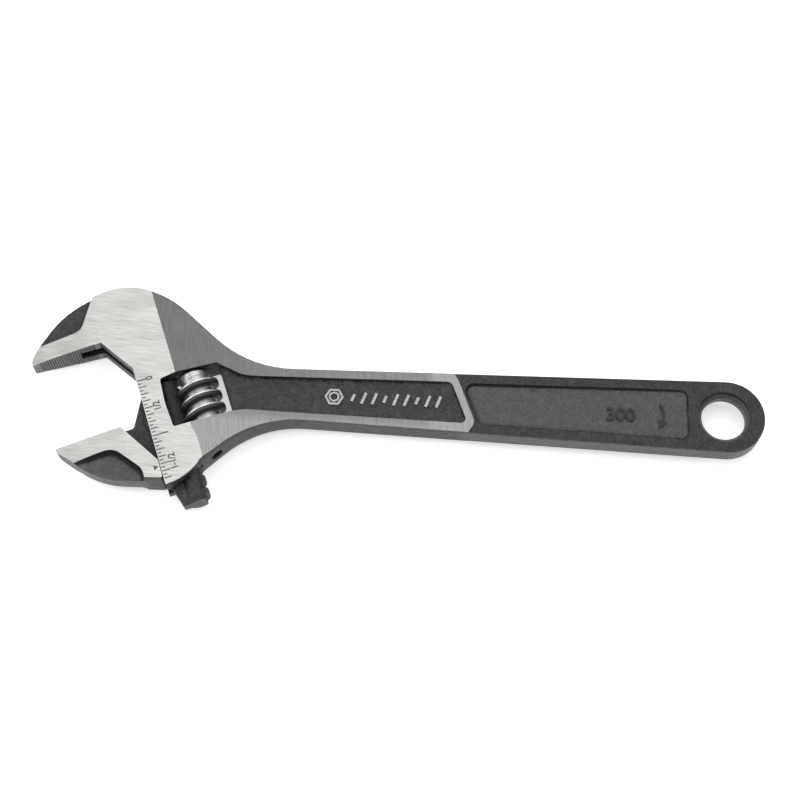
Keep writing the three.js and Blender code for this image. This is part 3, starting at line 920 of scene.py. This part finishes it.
def main() -> None:
    """Builds the wrench, its light and its camera, in order."""
    logging.basicConfig(level=logging.INFO, format="%(message)s")
    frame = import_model()
    spin = next(j for j in frame["joints"] if j["name"] == "knurl_spin")
    place = Place(centre=tuple(spin["pos_m"]))

    forged = ForgedFinish().build("forged_steel", place)
    for name in ("wrench_body", "movable_jaw"):
        Forging(name).build(frame["nodes"][name], forged)
    Knurl().build(place, KnurlFinish().build("knurl_steel", place))
    bright = PlainMetal((0.40, 0.40, 0.40), (0.55, 0.55, 0.55), (0.22, 0.35))
    for name in ("knurl_pin", "knurl_spring"):
        for slot in frame["nodes"][name].material_slots:
            slot.material = bright.build(name, place)
        LOG.info("%s: dressed", name)
    paint = PlainMetal((0.03, 0.03, 0.03), (0.07, 0.07, 0.07), (0.45, 0.6), 0.2).build("print", place)
    Scale(Side.FRONT, 25.4 / 16, 2, 29, ((0, "0"), (8, "1/2"), (16, "1"), (24, "1-1/2"))).build(place, paint)
    Scale(Side.BACK, 1.0, 5, 41, ((0, "0"), (10, "10"), (20, "20"), (30, "30")),
          half_width=0.12).build(place, paint)
    worn = PlainMetal((0.18, 0.18, 0.177), (0.34, 0.34, 0.333), (0.30, 0.45))
    PocketMark().build(place, worn.build("worn_relief", place))
    deep = PlainMetal((0.003, 0.003, 0.003), (0.010, 0.010, 0.010), (0.4, 0.55), 0.2)
    RecessMark().build(place, deep.build("deep_relief", place))
    Studio().build(place)
    LOG.info("light and camera")


# ------------------------------------------------------------------ studio
@dataclass
class SoftBox:
    """A square soft light that looks at the wrench."""

    name: str
    at: tuple[float, float, float]
    width: float
    power: float

    def build(self) -> None:
        """Adds the area light, turned towards the middle of the wrench."""
        light = bpy.data.lights.new(self.name, "AREA")
        light.size = self.width
        light.energy = self.power
        lamp = bpy.data.objects.new(self.name, light)
        lamp.location = self.at
        lamp.rotation_euler = (-Vector(self.at)).to_track_quat("-Z", "Y").to_euler()
        bpy.context.scene.collection.objects.link(lamp)


@dataclass
class Studio:
    """A pale floor that glows a little, soft light from two sides, and the camera."""

    floor_reach: float = 40.0
    floor_tone: float = 0.95
    floor_roughness: float = 0.9
    floor_glow: float = 0.45
    sky_strength: float = 0.55
    lens: float = 71.02
    sensor: float = 36.0
    camera_right: tuple[float, float, float] = (0.99859, 0.05268, 0.00628)
    camera_up: tuple[float, float, float] = (-0.05090, 0.91773, 0.39393)
    camera_back: tuple[float, float, float] = (0.01499, -0.39370, 0.91912)
    camera_from_knurl: tuple[float, float, float] = (0.09229, -0.25309, 0.60111)

    def build(self, place: Place) -> None:
        """Adds the floor, the sky, the two soft lights and the camera.

        Args:
            place: the wrench's directions.
        """
        self._floor()
        self._sky()
        SoftBox("overhead", (0.05, 0.35, 1.1), 1.3, 9.0).build()
        SoftBox("left", (-0.9, -0.1, 0.6), 0.7, 4.0).build()
        self._camera(place)

    def _floor(self) -> None:
        """Adds the plain floor at the height the wrench lies on."""
        side = np.linspace(-self.floor_reach, self.floor_reach, 3)
        grid = np.stack(np.meshgrid(side, side), -1).reshape(-1, 2)
        points = np.column_stack([grid, np.zeros(len(grid))])
        mesh = mesh_from("floor", points, grid_faces(3, 3, False, False))
        floor = bpy.data.objects.new("floor", mesh)
        bpy.context.scene.collection.objects.link(floor)
        pale = bpy.data.materials.new("floor")
        pale.use_nodes = True
        shader = next(n for n in pale.node_tree.nodes if n.type == "BSDF_PRINCIPLED")
        shader.inputs["Base Color"].default_value = (*(self.floor_tone,) * 3, 1)
        shader.inputs["Roughness"].default_value = self.floor_roughness
        shader.inputs["Emission Color"].default_value = (1, 1, 1, 1)
        shader.inputs["Emission Strength"].default_value = self.floor_glow
        mesh.materials.append(pale)

    def _sky(self) -> None:
        """Adds even white light from all round."""
        world = bpy.data.worlds.new("studio")
        world.use_nodes = True
        sky = next(n for n in world.node_tree.nodes if n.type == "BACKGROUND")
        sky.inputs["Color"].default_value = (1, 1, 1, 1)
        sky.inputs["Strength"].default_value = self.sky_strength
        bpy.context.scene.world = world
        bpy.context.scene.view_settings.view_transform = "Standard"

    def _camera(self, place: Place) -> None:
        """Adds the camera at its place relative to the middle of the knurl."""
        shot = bpy.data.cameras.new("camera")
        shot.lens = self.lens
        shot.sensor_width = self.sensor
        camera = bpy.data.objects.new("camera", shot)
        axes = (self.camera_right, self.camera_up, self.camera_back)
        turn = Matrix([Vector(axis) for axis in axes]).transposed().to_4x4()
        spot = Vector(place.centre) + Vector(self.camera_from_knurl)
        camera.matrix_world = Matrix.Translation(spot) @ turn
        bpy.context.scene.collection.objects.link(camera)
        bpy.context.scene.camera = camera


if __name__ == "__main__":
    main()
